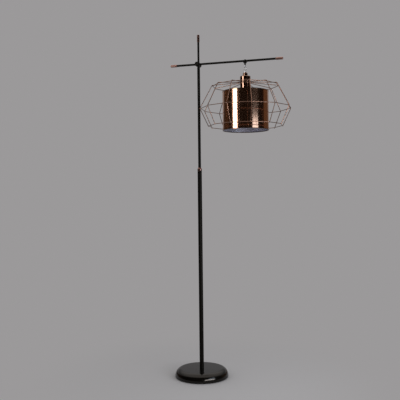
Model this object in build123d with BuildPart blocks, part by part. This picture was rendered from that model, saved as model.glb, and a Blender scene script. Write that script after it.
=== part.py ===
from build123d import *
import math
import os

# A floor lamp: a round weighted base, a telescopic pole, a cross arm held by a clamp,
# and a lamp head that hangs from the arm on two links, with a drum shade in a wire cage.
# Millimetres. The origin is on the floor under the pole, +Z is up and the arm lies along +X.

# ---------------------------------------------------------------- driving dimensions

lamp_height = 1600  # floor to the end of the top tip

# Clearances
seat_gap = 0.05  # round pieces that are pressed or glued together
thread_gap = 0.1  # screws in their holes
slide_gap = 0.08  # pieces that slide or turn in each other
float_gap = 0.3  # pieces that move past each other
skin_gap = 0.15  # thin sheet in its rim

# Base
base_diameter = 249
base_height = 41
pad_thickness = 2.5
pad_margin = 1
cover_wall = 1.5
cover_shoulder = 27  # how far the curved shoulder reaches in from the rim
cover_foot = 5
cover_lip = 2
cover_lift = 1
weight_rim = 22
weight_margin = 1
weight_hub_diameter = 70
recess_diameter = 34
recess_depth = 14

# Cord inlet at the back of the base
inlet_height = 10
inlet_bore = 7.2
inlet_wall = 1.2
inlet_flange = 1.5
inlet_flange_width = 1.4
inlet_slack = 0.2
inlet_seat_margin = 0.6

# Hollow stud that holds the pole on the base
stud_diameter = 10
stud_bore = 6.5
stud_reach = 22
stud_tail = 2
washer_diameter = 24
washer_thickness = 1.6
spring_washer_diameter = 18
spring_washer_thickness = 2
spring_washer_slot = 2
nut_width = 17
nut_thickness = 6

# Pole
lower_pole_diameter = 20
lower_pole_wall = 1.2
pole_joint_height = 965
pole_foot_length = 40
passage_diameter = 7
grub_diameter = 5
grub_length = 5
grub_height = 70
grub_sink = 0.4
grub_socket = 2.5
grub_socket_depth = 2
upper_pole_diameter = 13
upper_pole_wall = 1
upper_pole_foot = 750
guide_length = 40
guide_spigot = 22
collet_depth = 30
collet_neck = 10
collet_neck_diameter = 15
collet_slots = 4
collet_slot_width = 1.2
ferrule_height = 14
ferrule_diameter = 20.6
ferrule_straight = 7
ferrule_top_diameter = 14.8

# Rod above the pole, and the copper tips
arm_drop = 140.5  # end of the top tip down to the arm's axis
rod_diameter = 9.5
rod_wall = 1
seat_flange = 2
seat_depth = 25
seat_floor = 3
seat_floor_bore = 6
tip_diameter = 12
tip_end = 4
tip_round = 2.5
tip_mouth_round = 0.6
top_tip_length = 34
arm_tip_length = 31

# Cross clamp and its two thumb screws
arm_offset = 12
clamp_diameter = 23
clamp_front_wall = 5.2
clamp_back_wall = 5.2
clamp_round = 1.2
thumb_diameter = 18
thumb_length = 10
thumb_notches = 24
thumb_notch = 0.7
thumb_dish_diameter = 12
thumb_dish = 1
thumb_screw_diameter = 6

# Arm
arm_diameter = 9.5
arm_wall = 1.2
arm_left_reach = 132.5
arm_right_reach = 399

# Hanger: lug under the arm, two links, and loop on the lamp head
head_reach = 225
lug_diameter = 18
lug_grip = 2.5
lug_collar = 4
lug_cone = 7
lug_neck_diameter = 6.4
eye_drop = 16.9
eye_diameter = 7.4
eye_thickness = 2.6
eye_clearance = 0.35
lug_screw_diameter = 4
lug_screw_head = 6.8
lug_screw_head_height = 1.8
lug_screw_length = 14
link_wire = 2.2
link_width = 11.5
link_height = 17.4
loop_wire = 2.6
loop_radius = 5.3

# Lamp head: nipple, cap, cup and lamp holder
nipple_flange_diameter = 13
nipple_flange = 2.5
nipple_bore = 6
nipple_side_hole = 4.5
nipple_grip = 9.8
cap_diameter = 22
cap_height = 16
cap_wall = 1.2
cap_round = 5
cap_bushing_bore = 4.2
cap_bushing_wall = 1
cap_bushing_flange = 1
cap_bushing_height = 5
cup_diameter = 48
cup_height = 14.5
cup_wall = 1.2
cup_round = 3
sleeve_height = 13.5
sleeve_round = 0.9
hub_diameter = 59
hub_thickness = 3
hub_round = 0.8
spacer_length = 38.55
holder_diameter = 39.8
holder_bore = 28.6
holder_length = 70
holder_neck_diameter = 16
holder_neck = 11.3
holder_shoulder = 4.5
holder_roof = 6
shell_wall = 0.5
shell_length = 32
shell_inset = 2
carrier_thickness = 12
carrier_lift = 2
contact_diameter = 9
contact_thickness = 1
contact_stem_diameter = 3.8
contact_stem_tail = 2
terminal_diameter = 3.4
terminal_head_diameter = 6
terminal_head = 2.5
terminal_length = 8
terminal_spacing = 16
ring_nut_diameter = 56
ring_nut_height = 6
ring_nut_ribs = 16
ring_nut_rib = 0.8

# Drum shade
shade_diameter = 210
shade_height = 178
shade_wall = 1
rim_wall = 0.55
rim_height = 3.2
rim_web = 0.6
fitter_drop = 2
fitter_thickness = 3
fitter_width = 8
fitter_wire = 3
fitter_arms = 3
fitter_angle = 40

# Bulb
bulb_diameter = 60
bulb_length = 104
bulb_glass_wall = 0.8
bulb_neck_diameter = 24.6
bulb_cap_diameter = 26.4
bulb_cap_length = 24
bulb_cap_wall = 0.5
bulb_cap_shoulder = 3.5
bulb_cap_land = 10
bulb_contact_diameter = 8
bulb_contact_height = 1.6
bulb_neck_depth = 8
bulb_neck_straight = 4
bulb_play = 0.3

# Wire cage
cage_wire = 3
cage_bend = 6
cage_ribs_count = 12
cage_angle = -10.4
cage_top_radius = 151
cage_top_drop = 15.05  # each ring's drop is from the middle of the hub
cage_middle_radius = 206
cage_middle_drop = 116.55
cage_bottom_radius = 169
cage_bottom_drop = 196.05
cage_tail = 2

# ---------------------------------------------------------------- places that follow

base_radius = base_diameter / 2
cover_roof = base_height - cover_wall
mouth_radius = base_radius - cover_foot - cover_lip
widest_height = cover_lift + cover_foot
rim_top = pad_thickness + weight_rim
recess_top = pad_thickness + recess_depth
nut_top = recess_top - washer_thickness - spring_washer_thickness
stud_low = nut_top - nut_thickness - stud_tail
stud_radius = stud_diameter / 2
inlet_neck_radius = inlet_bore / 2 + inlet_wall
inlet_flange_radius = inlet_neck_radius + inlet_flange_width

lower_pole_radius = lower_pole_diameter / 2
lower_pole_bore = lower_pole_radius - lower_pole_wall
upper_pole_radius = upper_pole_diameter / 2
upper_pole_bore = upper_pole_radius - upper_pole_wall
passage_radius = passage_diameter / 2

arm_height = lamp_height - arm_drop
rod_radius = rod_diameter / 2
arm_radius = arm_diameter / 2
clamp_radius = clamp_diameter / 2
clamp_front = -arm_offset - arm_radius - clamp_front_wall
clamp_back = rod_radius + clamp_back_wall
seat_top = arm_height - clamp_radius - float_gap
upper_pole_top = seat_top - seat_flange
seat_low = upper_pole_top - seat_depth
rod_low = seat_low + seat_floor

head = (head_reach, -arm_offset)
eye_height = arm_height - eye_drop
link_radius = link_wire / 2
link_arc = link_width / 2 - link_radius
link_straight = link_height - link_width
link_reach = link_height - link_wire
lower_link_height = eye_height - link_reach + link_wire + float_gap
loop_height = lower_link_height - link_reach + link_radius + loop_wire / 2 + float_gap
loop_middle = loop_height - loop_radius
cap_top = loop_middle - loop_radius - nipple_flange / 2
cup_top = cap_top - cap_height
cup_roof = cup_top - cup_wall
sleeve_top = cup_top - cup_height
hub_top = sleeve_top - sleeve_height
hub_low = hub_top - hub_thickness
hub_middle = (hub_low + hub_top) / 2
nipple_low = cup_roof - nipple_grip
holder_top = cup_roof - holder_neck
holder_low = holder_top - holder_shoulder - holder_length
holder_radius = holder_diameter / 2
shell_low = holder_low + shell_inset
shell_top = shell_low + shell_length
carrier_low = shell_top + carrier_lift
carrier_top = carrier_low + carrier_thickness
contact_top = carrier_low
contact_low = contact_top - contact_thickness

fitter_top = hub_low - spacer_length
fitter_height = fitter_top - fitter_thickness / 2
fitter_low = fitter_top - fitter_thickness
shade_radius = shade_diameter / 2
shade_top = fitter_height + fitter_drop
shade_low = shade_top - shade_height
rim_outer = shade_radius + skin_gap + rim_wall
rim_inner = shade_radius - shade_wall - skin_gap - rim_wall
fitter_ring = rim_inner - skin_gap - fitter_wire / 2

bulb_top = contact_low - bulb_play
bulb_cap_top = bulb_top - bulb_contact_height
bulb_cap_low = bulb_cap_top - bulb_cap_length
bulb_low = bulb_top - bulb_length
bulb_radius = bulb_diameter / 2

cage_wire_radius = cage_wire / 2
cage_top_height = hub_middle - cage_top_drop
cage_middle_height = hub_middle - cage_middle_drop
cage_bottom_height = hub_middle - cage_bottom_drop


# ---------------------------------------------------------------- ways of making

def upright(centre):
    """The plane that stands on the axis through centre, with heights along its second direction."""
    return Plane(origin=(centre[0], centre[1], 0), x_dir=(1, 0, 0), z_dir=(0, -1, 0))


def turn(outline, centre=(0, 0), mode=Mode.ADD):
    """Turn a closed outline of (radius, height) points about the upright axis through centre."""
    with BuildSketch(upright(centre)) as section:
        with BuildLine():
            Polyline(*outline, close=True)
        make_face()
    revolve(section.sketch, axis=Axis((*centre, 0), (0, 0, 1)), mode=mode)


def tube(low, high, inner, outer, centre=(0, 0), mode=Mode.ADD):
    """An upright tube, or a rod where inner is 0."""
    turn([(inner, low), (outer, low), (outer, high), (inner, high)], centre, mode)


def rounded_disc(radius, low, high, low_round, high_round, centre=(0, 0), mode=Mode.ADD):
    """A solid disc whose lower and upper edges are rounded; a round of 0 leaves the edge sharp."""
    with BuildSketch(upright(centre)) as section:
        with BuildLine():
            Polyline((0, low), (radius, low), (radius, high), (0, high), close=True)
        make_face()
        rim = section.vertices().group_by(Axis.X)[-1].sort_by(Axis.Y)
        if high_round:
            fillet(rim[-1], high_round)
        if low_round:
            fillet(rim[0], low_round)
    revolve(section.sketch, axis=Axis((*centre, 0), (0, 0, 1)), mode=mode)


def base_shell(inset, mode=Mode.ADD):
    """The outside of the base, set in by inset: a rounded foot under a long curved shoulder."""
    foot_radius = base_radius - cover_foot
    with BuildSketch(upright((0, 0))) as section:
        with BuildLine():
            Line((0, cover_lift + inset), (foot_radius, cover_lift + inset))
            CenterArc((foot_radius, widest_height), cover_foot - inset, -90, 90)
            EllipticalCenterArc((base_radius - cover_shoulder, widest_height),
                                cover_shoulder - inset, base_height - widest_height - inset)
            Line((base_radius - cover_shoulder, base_height - inset), (0, base_height - inset))
            Line((0, base_height - inset), (0, cover_lift + inset))
        make_face()
    revolve(section.sketch, axis=Axis((0, 0, 0), (0, 0, 1)), mode=mode)


def bar(plane, radius, length, mode=Mode.ADD):
    """A round bar from a plane along its direction."""
    with BuildSketch(plane) as section:
        Circle(radius)
    extrude(section.sketch, amount=length, mode=mode)


def wire(path, radius):
    """Sweep a round wire along a path."""
    with BuildSketch(Plane(origin=path @ 0, z_dir=path % 0)) as section:
        Circle(radius)
    sweep(section.sketch, path=path)


def ball_tip(plane, length, bore):
    """A turned tip that covers the end of a rod, open at the plane and rounded at its far end."""
    bar(plane, tip_diameter / 2, length)
    ends = edges().filter_by(GeomType.CIRCLE).sort_by(Axis(plane.origin, plane.z_dir))
    fillet(ends[-1], tip_round)
    fillet(ends[0], tip_mouth_round)
    bar(plane, bore, length - tip_end, mode=Mode.SUBTRACT)


def along_x(x):
    """The plane that faces +X on the arm's axis."""
    return Plane(origin=(x, -arm_offset, arm_height), x_dir=(0, 1, 0), z_dir=(1, 0, 0))


def facing_back(y, height=arm_height):
    """The plane that faces +Y, above the middle of the base."""
    return Plane(origin=(0, y, height), x_dir=(-1, 0, 0), z_dir=(0, 1, 0))


pieces = {}

# ---------------------------------------------------------------- base

with BuildPart() as base_pad:
    tube(0, pad_thickness, 0, mouth_radius - pad_margin)
pieces["base_pad"] = base_pad

with BuildPart() as base_weight:
    inset = cover_wall + weight_margin
    rise = (rim_top - widest_height) / (base_height - widest_height - inset)
    shoulder_room = (cover_shoulder - inset) * math.sqrt(1 - rise ** 2)
    bore = stud_radius + thread_gap
    turn([
        (bore, pad_thickness),
        (mouth_radius - weight_margin, pad_thickness),
        (base_radius - inset, pad_thickness + cover_foot),
        (base_radius - cover_shoulder + shoulder_room, rim_top),
        (weight_hub_diameter / 2, rim_top),
        (weight_hub_diameter / 2, cover_roof),
        (bore, cover_roof),
    ])
    tube(pad_thickness, recess_top, 0, recess_diameter / 2, mode=Mode.SUBTRACT)
    channel_width = 2 * inlet_flange_radius + 2
    channel_height = inlet_height + channel_width / 2 - pad_thickness
    with BuildSketch(Plane.XY.offset(pad_thickness)):
        with Locations((0, base_radius / 2)):
            Rectangle(channel_width, base_radius)
    extrude(amount=channel_height, mode=Mode.SUBTRACT)
pieces["base_weight"] = base_weight

with BuildPart() as base_cover:
    base_shell(0)
    inner_rim = base_radius - cover_wall
    seat_root = facing_back(inner_rim - cover_foot, inlet_height)
    bar(seat_root, inlet_flange_radius + inlet_seat_margin, cover_foot + cover_wall)
    base_shell(cover_wall, mode=Mode.SUBTRACT)
    bar(seat_root, inlet_flange_radius + float_gap, cover_foot, mode=Mode.SUBTRACT)
    tube(cover_lift, cover_lift + cover_wall, 0, mouth_radius, mode=Mode.SUBTRACT)
    tube(cover_roof, base_height, 0, stud_radius + thread_gap, mode=Mode.SUBTRACT)
    bar(seat_root, inlet_neck_radius + thread_gap, cover_wall + cover_foot, mode=Mode.SUBTRACT)
pieces["base_cover"] = base_cover

with BuildPart() as cord_bushing:
    inner_face = base_radius - cover_wall - inlet_slack - inlet_flange
    neck_length = inlet_flange + inlet_slack + cover_wall
    bar(facing_back(inner_face, inlet_height), inlet_flange_radius, inlet_flange)
    bar(facing_back(inner_face, inlet_height), inlet_neck_radius, neck_length)
    bar(facing_back(base_radius, inlet_height), inlet_flange_radius, inlet_flange)
    bushing_length = neck_length + inlet_flange
    bar(facing_back(inner_face, inlet_height), inlet_bore / 2, bushing_length, mode=Mode.SUBTRACT)
pieces["cord_bushing"] = cord_bushing

with BuildPart() as threaded_stud:
    tube(stud_low, base_height + stud_reach, stud_bore / 2, stud_radius)
pieces["threaded_stud"] = threaded_stud

with BuildPart() as flat_washer:
    tube(recess_top - washer_thickness, recess_top, stud_radius + thread_gap, washer_diameter / 2)
pieces["flat_washer"] = flat_washer

with BuildPart() as spring_washer:
    tube(nut_top, nut_top + spring_washer_thickness, stud_radius + thread_gap,
         spring_washer_diameter / 2)
    with BuildSketch(Plane.XY.offset(nut_top)):
        with Locations((spring_washer_diameter / 2, 0)):
            Rectangle(spring_washer_diameter, spring_washer_slot)
    extrude(amount=spring_washer_thickness, mode=Mode.SUBTRACT)
pieces["spring_washer"] = spring_washer

with BuildPart() as stud_nut:
    with BuildSketch(Plane.XY.offset(nut_top - nut_thickness)):
        RegularPolygon(nut_width / 2, 6, major_radius=False)
        Circle(stud_radius + seat_gap, mode=Mode.SUBTRACT)
    extrude(amount=nut_thickness)
pieces["stud_nut"] = stud_nut

# ---------------------------------------------------------------- lower pole and its lock

with BuildPart() as pole_foot:
    foot_top = base_height + pole_foot_length
    thread_top = base_height + stud_reach + stud_tail
    turn([
        (stud_radius + seat_gap, base_height),
        (lower_pole_bore - seat_gap, base_height),
        (lower_pole_bore - seat_gap, foot_top),
        (passage_radius, foot_top),
        (passage_radius, thread_top),
        (stud_radius + seat_gap, thread_top),
    ])
    bar(facing_back(0, grub_height), grub_diameter / 2, lower_pole_radius, mode=Mode.SUBTRACT)
pieces["pole_foot"] = pole_foot

with BuildPart() as lower_pole:
    tube(base_height, pole_joint_height, lower_pole_bore, lower_pole_radius)
    bar(facing_back(0, grub_height), grub_diameter / 2, lower_pole_radius + 1, mode=Mode.SUBTRACT)
pieces["lower_pole"] = lower_pole

with BuildPart() as foot_grub_screw:
    grub_face = lower_pole_radius - grub_sink
    bar(facing_back(grub_face - grub_length, grub_height), grub_diameter / 2 - seat_gap, grub_length)
    with BuildSketch(facing_back(grub_face, grub_height)):
        RegularPolygon(grub_socket / 2, 6, major_radius=False)
    extrude(amount=-grub_socket_depth, mode=Mode.SUBTRACT)
pieces["foot_grub_screw"] = foot_grub_screw

with BuildPart() as lock_collet:
    collet_bore = upper_pole_radius + slide_gap
    neck_top = pole_joint_height + collet_neck
    turn([
        (collet_bore, pole_joint_height - collet_depth),
        (lower_pole_bore - seat_gap, pole_joint_height - collet_depth),
        (lower_pole_bore - seat_gap, pole_joint_height),
        (collet_neck_diameter / 2, pole_joint_height),
        (collet_neck_diameter / 2, neck_top),
        (collet_bore, neck_top),
    ])
    with BuildSketch(Plane.XY.offset(neck_top)):
        with PolarLocations(collet_neck_diameter / 2, collet_slots):
            Rectangle(collet_neck_diameter / 2, collet_slot_width)
    extrude(amount=-collet_neck, mode=Mode.SUBTRACT)
pieces["lock_collet"] = lock_collet

with BuildPart() as lock_ferrule:
    ferrule_low = pole_joint_height + float_gap
    ferrule_top = pole_joint_height + ferrule_height
    cavity = collet_neck_diameter / 2 + float_gap
    cavity_top = pole_joint_height + collet_neck + float_gap
    throat = upper_pole_radius + float_gap
    turn([
        (cavity, ferrule_low),
        (ferrule_diameter / 2, ferrule_low),
        (ferrule_diameter / 2, pole_joint_height + ferrule_straight),
        (ferrule_top_diameter / 2, ferrule_top),
        (throat, ferrule_top),
        (throat, cavity_top),
        (cavity, cavity_top),
    ])
pieces["lock_ferrule"] = lock_ferrule

# ---------------------------------------------------------------- upper pole, rod and top tip

with BuildPart() as guide_plug:
    spigot_top = upper_pole_foot + guide_spigot
    turn([
        (passage_radius, upper_pole_foot - guide_length),
        (lower_pole_bore - slide_gap, upper_pole_foot - guide_length),
        (lower_pole_bore - slide_gap, upper_pole_foot - float_gap),
        (upper_pole_bore - slide_gap, upper_pole_foot - float_gap),
        (upper_pole_bore - slide_gap, spigot_top),
        (passage_radius, spigot_top),
    ])
pieces["guide_plug"] = guide_plug

with BuildPart() as upper_pole:
    tube(upper_pole_foot, upper_pole_top, upper_pole_bore, upper_pole_radius)
pieces["upper_pole"] = upper_pole

with BuildPart() as rod_seat:
    turn([
        (seat_floor_bore / 2, seat_low),
        (upper_pole_bore - seat_gap, seat_low),
        (upper_pole_bore - seat_gap, upper_pole_top),
        (upper_pole_radius, upper_pole_top),
        (upper_pole_radius, seat_top),
        (rod_radius + seat_gap, seat_top),
        (rod_radius + seat_gap, rod_low),
        (seat_floor_bore / 2, rod_low),
    ])
pieces["rod_seat"] = rod_seat

with BuildPart() as top_rod:
    tube(rod_low, lamp_height - tip_end, rod_radius - rod_wall, rod_radius)
pieces["top_rod"] = top_rod

with BuildPart() as top_tip:
    ball_tip(Plane.XY.offset(lamp_height - top_tip_length), top_tip_length, rod_radius + seat_gap)
pieces["top_tip"] = top_tip

# ---------------------------------------------------------------- cross clamp

with BuildPart() as cross_clamp:
    bar(facing_back(clamp_front), clamp_radius, clamp_back - clamp_front)
    fillet(edges().filter_by(GeomType.CIRCLE), clamp_round)
    tube(arm_height - clamp_radius, arm_height + clamp_radius, 0, rod_radius + slide_gap,
         mode=Mode.SUBTRACT)
    bar(along_x(-clamp_radius), arm_radius + slide_gap, clamp_diameter, mode=Mode.SUBTRACT)
    screw_hole = thumb_screw_diameter / 2 + thread_gap
    bar(facing_back(clamp_front), screw_hole, -arm_offset - clamp_front, mode=Mode.SUBTRACT)
    bar(facing_back(0), screw_hole, clamp_back, mode=Mode.SUBTRACT)
pieces["cross_clamp"] = cross_clamp


def thumb_screw(face, outward, stem):
    """A notched thumb screw on a clamp face, with its stem reaching into the clamp."""
    knob = Plane(origin=(0, face + outward * float_gap, arm_height), x_dir=(1, 0, 0),
                 z_dir=(0, outward, 0))
    with BuildSketch(knob) as section:
        Circle(thumb_diameter / 2)
        with PolarLocations(thumb_diameter / 2, thumb_notches):
            Circle(thumb_notch, mode=Mode.SUBTRACT)
    extrude(section.sketch, amount=thumb_length)
    bar(knob, thumb_screw_diameter / 2, -stem - float_gap)
    bar(knob.offset(thumb_length), thumb_dish_diameter / 2, -thumb_dish, mode=Mode.SUBTRACT)


with BuildPart() as arm_thumbscrew:
    thumb_screw(clamp_front, -1, clamp_front_wall - float_gap)
pieces["arm_thumbscrew"] = arm_thumbscrew

with BuildPart() as pole_thumbscrew:
    thumb_screw(clamp_back, 1, clamp_back_wall - float_gap)
pieces["pole_thumbscrew"] = pole_thumbscrew

# ---------------------------------------------------------------- arm and hanger lug

with BuildPart() as arm_tube:
    arm_start = -arm_left_reach + tip_end
    arm_length = arm_left_reach + arm_right_reach - 2 * tip_end
    bar(along_x(arm_start), arm_radius, arm_length)
    bar(along_x(arm_start), arm_radius - arm_wall, arm_length, mode=Mode.SUBTRACT)
    tube(arm_height - arm_diameter, arm_height + arm_diameter, 0,
         lug_screw_diameter / 2 + thread_gap, centre=head, mode=Mode.SUBTRACT)
pieces["arm_tube"] = arm_tube

with BuildPart() as arm_tip_left:
    mouth = Plane(origin=(arm_tip_length - arm_left_reach, -arm_offset, arm_height),
                  x_dir=(0, 1, 0), z_dir=(-1, 0, 0))
    ball_tip(mouth, arm_tip_length, arm_radius + seat_gap)
pieces["arm_tip_left"] = arm_tip_left

with BuildPart() as arm_tip_right:
    ball_tip(along_x(arm_right_reach - arm_tip_length), arm_tip_length, arm_radius + seat_gap)
pieces["arm_tip_right"] = arm_tip_right

with BuildPart() as hanger_lug:
    lug_top = arm_height - lug_grip
    cone_top = lug_top - lug_collar
    cone_low = cone_top - lug_cone
    turn([
        (0, cone_low),
        (lug_neck_diameter / 2, cone_low),
        (lug_diameter / 2, cone_top),
        (lug_diameter / 2, lug_top),
        (0, lug_top),
    ], centre=head)
    eye_plane = Plane(origin=(head_reach, -arm_offset - eye_thickness / 2, eye_height),
                      x_dir=(-1, 0, 0), z_dir=(0, 1, 0))
    with BuildSketch(eye_plane):
        Circle(eye_diameter / 2)
        with Locations((0, (cone_low - eye_height) / 2)):
            Rectangle(lug_neck_diameter, cone_low - eye_height)
    extrude(amount=eye_thickness)
    bar(eye_plane, link_radius + eye_clearance, eye_thickness, mode=Mode.SUBTRACT)
    bar(along_x(head_reach - lug_diameter), arm_radius + seat_gap, 2 * lug_diameter,
        mode=Mode.SUBTRACT)
    lug_screw_low = arm_height + arm_radius - lug_screw_length
    tube(lug_screw_low - thread_gap, arm_height, 0, lug_screw_diameter / 2 + seat_gap,
         centre=head, mode=Mode.SUBTRACT)
pieces["hanger_lug"] = hanger_lug

with BuildPart() as lug_screw:
    crown = arm_height + arm_radius
    tube(crown - lug_screw_length, crown, 0, lug_screw_diameter / 2, centre=head)
    rounded_disc(lug_screw_head / 2, crown, crown + lug_screw_head_height, 0,
                 lug_screw_head_height / 2, centre=head)
pieces["lug_screw"] = lug_screw


def chain_link(top, across):
    """A link that hangs from the height of its top wire, as wide as it is along across."""
    middle = top - link_reach / 2
    link_plane = Plane(origin=(*head, middle), x_dir=across,
                       z_dir=Vector(across).cross(Vector(0, 0, 1)))
    side = link_straight / 2
    with BuildLine(link_plane) as link_path:
        Line((link_arc, 0), (link_arc, side))
        ThreePointArc((link_arc, side), (0, side + link_arc), (-link_arc, side))
        Line((-link_arc, side), (-link_arc, -side))
        ThreePointArc((-link_arc, -side), (0, -side - link_arc), (link_arc, -side))
        Line((link_arc, -side), (link_arc, 0))
    wire(link_path.line, link_radius)


with BuildPart() as upper_link:
    chain_link(eye_height, (0, 1, 0))
pieces["upper_link"] = upper_link

with BuildPart() as lower_link:
    chain_link(lower_link_height, (1, 0, 0))
pieces["lower_link"] = lower_link

# ---------------------------------------------------------------- lamp head

with BuildPart() as loop_nipple:
    with BuildSketch(upright(head)) as loop_section:
        with Locations((0, loop_height)):
            Circle(loop_wire / 2)
    revolve(loop_section.sketch, axis=Axis((*head, loop_middle), (1, 0, 0)))
    tube(cap_top, cap_top + nipple_flange, 0, nipple_flange_diameter / 2, centre=head)
    tube(nipple_low, cap_top, 0, stud_radius, centre=head)
    tube(nipple_low, cap_top - cap_wall, 0, nipple_bore / 2, centre=head, mode=Mode.SUBTRACT)
    side_hole = Plane(origin=(*head, cup_top + cap_bushing_height), x_dir=(-1, 0, 0), z_dir=(0, 1, 0))
    bar(side_hole, nipple_side_hole / 2, cap_diameter, mode=Mode.SUBTRACT)
pieces["loop_nipple"] = loop_nipple

with BuildPart() as socket_cap:
    cap_radius = cap_diameter / 2
    rounded_disc(cap_radius, cup_top, cap_top, 0, cap_round, centre=head)
    rounded_disc(cap_radius - cap_wall, cup_top, cap_top - cap_wall, 0, cap_round - cap_wall,
                 centre=head, mode=Mode.SUBTRACT)
    tube(cap_top - cap_wall, cap_top, 0, stud_radius + thread_gap, centre=head, mode=Mode.SUBTRACT)
    bushing_neck = cap_bushing_bore / 2 + cap_bushing_wall
    bar(side_hole, bushing_neck + thread_gap, cap_diameter, mode=Mode.SUBTRACT)
pieces["socket_cap"] = socket_cap

with BuildPart() as cap_bushing:
    outer_face = side_hole.offset(cap_radius)
    bar(outer_face, bushing_neck + cap_bushing_wall, cap_bushing_flange)
    bar(outer_face, bushing_neck, -2 * cap_wall)
    bar(outer_face.offset(cap_bushing_flange), cap_bushing_bore / 2,
        -cap_bushing_flange - 2 * cap_wall, mode=Mode.SUBTRACT)
pieces["cap_bushing"] = cap_bushing

with BuildPart() as socket_cup:
    cup_radius = cup_diameter / 2
    rounded_disc(cup_radius, sleeve_top, cup_top, sleeve_round, cup_round, centre=head)
    rounded_disc(cup_radius - cup_wall, sleeve_top, cup_roof, 0, cup_round - cup_wall,
                 centre=head, mode=Mode.SUBTRACT)
    tube(cup_roof, cup_top, 0, stud_radius + thread_gap, centre=head, mode=Mode.SUBTRACT)
pieces["socket_cup"] = socket_cup

with BuildPart() as cup_sleeve:
    rounded_disc(cup_radius, hub_top, sleeve_top, 0, sleeve_round, centre=head)
    tube(hub_top, sleeve_top, 0, cup_radius - cup_wall, centre=head, mode=Mode.SUBTRACT)
pieces["cup_sleeve"] = cup_sleeve

with BuildPart() as lampholder:
    holder_neck_bore = stud_radius + thread_gap
    turn([
        (holder_bore / 2, holder_low),
        (holder_radius, holder_low),
        (holder_radius, holder_top - holder_shoulder),
        (holder_neck_diameter / 2, holder_top),
        (holder_neck_diameter / 2, cup_roof),
        (holder_neck_bore, cup_roof),
        (holder_neck_bore, holder_top - holder_shoulder - holder_roof),
        (holder_bore / 2, holder_top - holder_shoulder - holder_roof),
    ], centre=head)
pieces["lampholder"] = lampholder

with BuildPart() as screw_shell:
    shell_radius = holder_bore / 2 - seat_gap
    tube(shell_low, shell_top, shell_radius - shell_wall, shell_radius, centre=head)
pieces["screw_shell"] = screw_shell

with BuildPart() as contact_carrier:
    tube(carrier_low, carrier_top, contact_stem_diameter / 2 + seat_gap,
         holder_bore / 2 - seat_gap, centre=head)
    with BuildSketch(Plane(origin=(*head, carrier_top))) as screw_holes:
        with GridLocations(terminal_spacing, 0, 2, 1):
            Circle(terminal_diameter / 2 + seat_gap)
    extrude(screw_holes.sketch, amount=-terminal_length - thread_gap, mode=Mode.SUBTRACT)
pieces["contact_carrier"] = contact_carrier

with BuildPart() as centre_contact:
    tube(contact_low, contact_top, 0, contact_diameter / 2, centre=head)
    tube(contact_top, carrier_top + contact_stem_tail, 0, contact_stem_diameter / 2, centre=head)
pieces["centre_contact"] = centre_contact

with BuildPart() as terminal_screws:
    with BuildSketch(Plane(origin=(*head, carrier_top))) as screw_heads:
        with GridLocations(terminal_spacing, 0, 2, 1):
            Circle(terminal_head_diameter / 2)
    extrude(screw_heads.sketch, amount=terminal_head)
    with BuildSketch(Plane(origin=(*head, carrier_top))) as screw_stems:
        with GridLocations(terminal_spacing, 0, 2, 1):
            Circle(terminal_diameter / 2)
    extrude(screw_stems.sketch, amount=-terminal_length)
pieces["terminal_screws"] = terminal_screws

with BuildPart() as cage_hub:
    hub_bore = holder_radius + float_gap
    rounded_disc(hub_diameter / 2, hub_low, hub_top, hub_round, hub_round, centre=head)
    tube(hub_low, hub_top, 0, hub_bore, centre=head, mode=Mode.SUBTRACT)
pieces["cage_hub"] = cage_hub

with BuildPart() as spacer_sleeve:
    tube(fitter_top, hub_low, cup_radius - cup_wall, cup_radius, centre=head)
pieces["spacer_sleeve"] = spacer_sleeve

with BuildPart() as shade_fitter:
    fitter_bore = holder_radius + float_gap
    tube(fitter_low, fitter_top, fitter_bore, fitter_bore + fitter_width, centre=head)
    with BuildSketch(upright(head)) as ring_section:
        with Locations((fitter_ring, fitter_height)):
            Circle(fitter_wire / 2)
    revolve(ring_section.sketch, axis=Axis((*head, 0), (0, 0, 1)))
    for number in range(fitter_arms):
        angle = math.radians(fitter_angle + 360 / fitter_arms * number)
        outward = (math.cos(angle), math.sin(angle), 0)
        start = fitter_bore + fitter_width / 2
        arm_plane = Plane(origin=(head[0] + start * outward[0], head[1] + start * outward[1],
                                  fitter_height), z_dir=outward)
        bar(arm_plane, fitter_wire / 2, fitter_ring - start)
pieces["shade_fitter"] = shade_fitter

with BuildPart() as ring_nut:
    with BuildSketch(Plane(origin=(*head, fitter_low - ring_nut_height))) as nut_section:
        Circle(ring_nut_diameter / 2)
        with PolarLocations(ring_nut_diameter / 2, ring_nut_ribs):
            Circle(ring_nut_rib, mode=Mode.SUBTRACT)
        Circle(holder_radius + thread_gap, mode=Mode.SUBTRACT)
    extrude(nut_section.sketch, amount=ring_nut_height)
pieces["ring_nut"] = ring_nut

# ---------------------------------------------------------------- drum shade

with BuildPart() as shade_skin:
    tube(shade_low + rim_web, shade_top - rim_web, shade_radius - shade_wall, shade_radius,
         centre=head)
pieces["shade_skin"] = shade_skin


def folded_rim(edge, inward):
    """A folded rim over one edge of the shade: inward is +1 for the lower rim, -1 for the upper."""
    web = edge + inward * rim_web
    fold = edge + inward * rim_height
    outer_slot = shade_radius + skin_gap
    inner_slot = shade_radius - shade_wall - skin_gap
    turn([
        (rim_inner, edge),
        (rim_outer, edge),
        (rim_outer, fold),
        (outer_slot, fold),
        (outer_slot, web),
        (inner_slot, web),
        (inner_slot, fold),
        (rim_inner, fold),
    ], centre=head)


with BuildPart() as shade_top_rim:
    folded_rim(shade_top, -1)
pieces["shade_top_rim"] = shade_top_rim

with BuildPart() as shade_bottom_rim:
    folded_rim(shade_low, 1)
pieces["shade_bottom_rim"] = shade_bottom_rim

# ---------------------------------------------------------------- bulb

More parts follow.
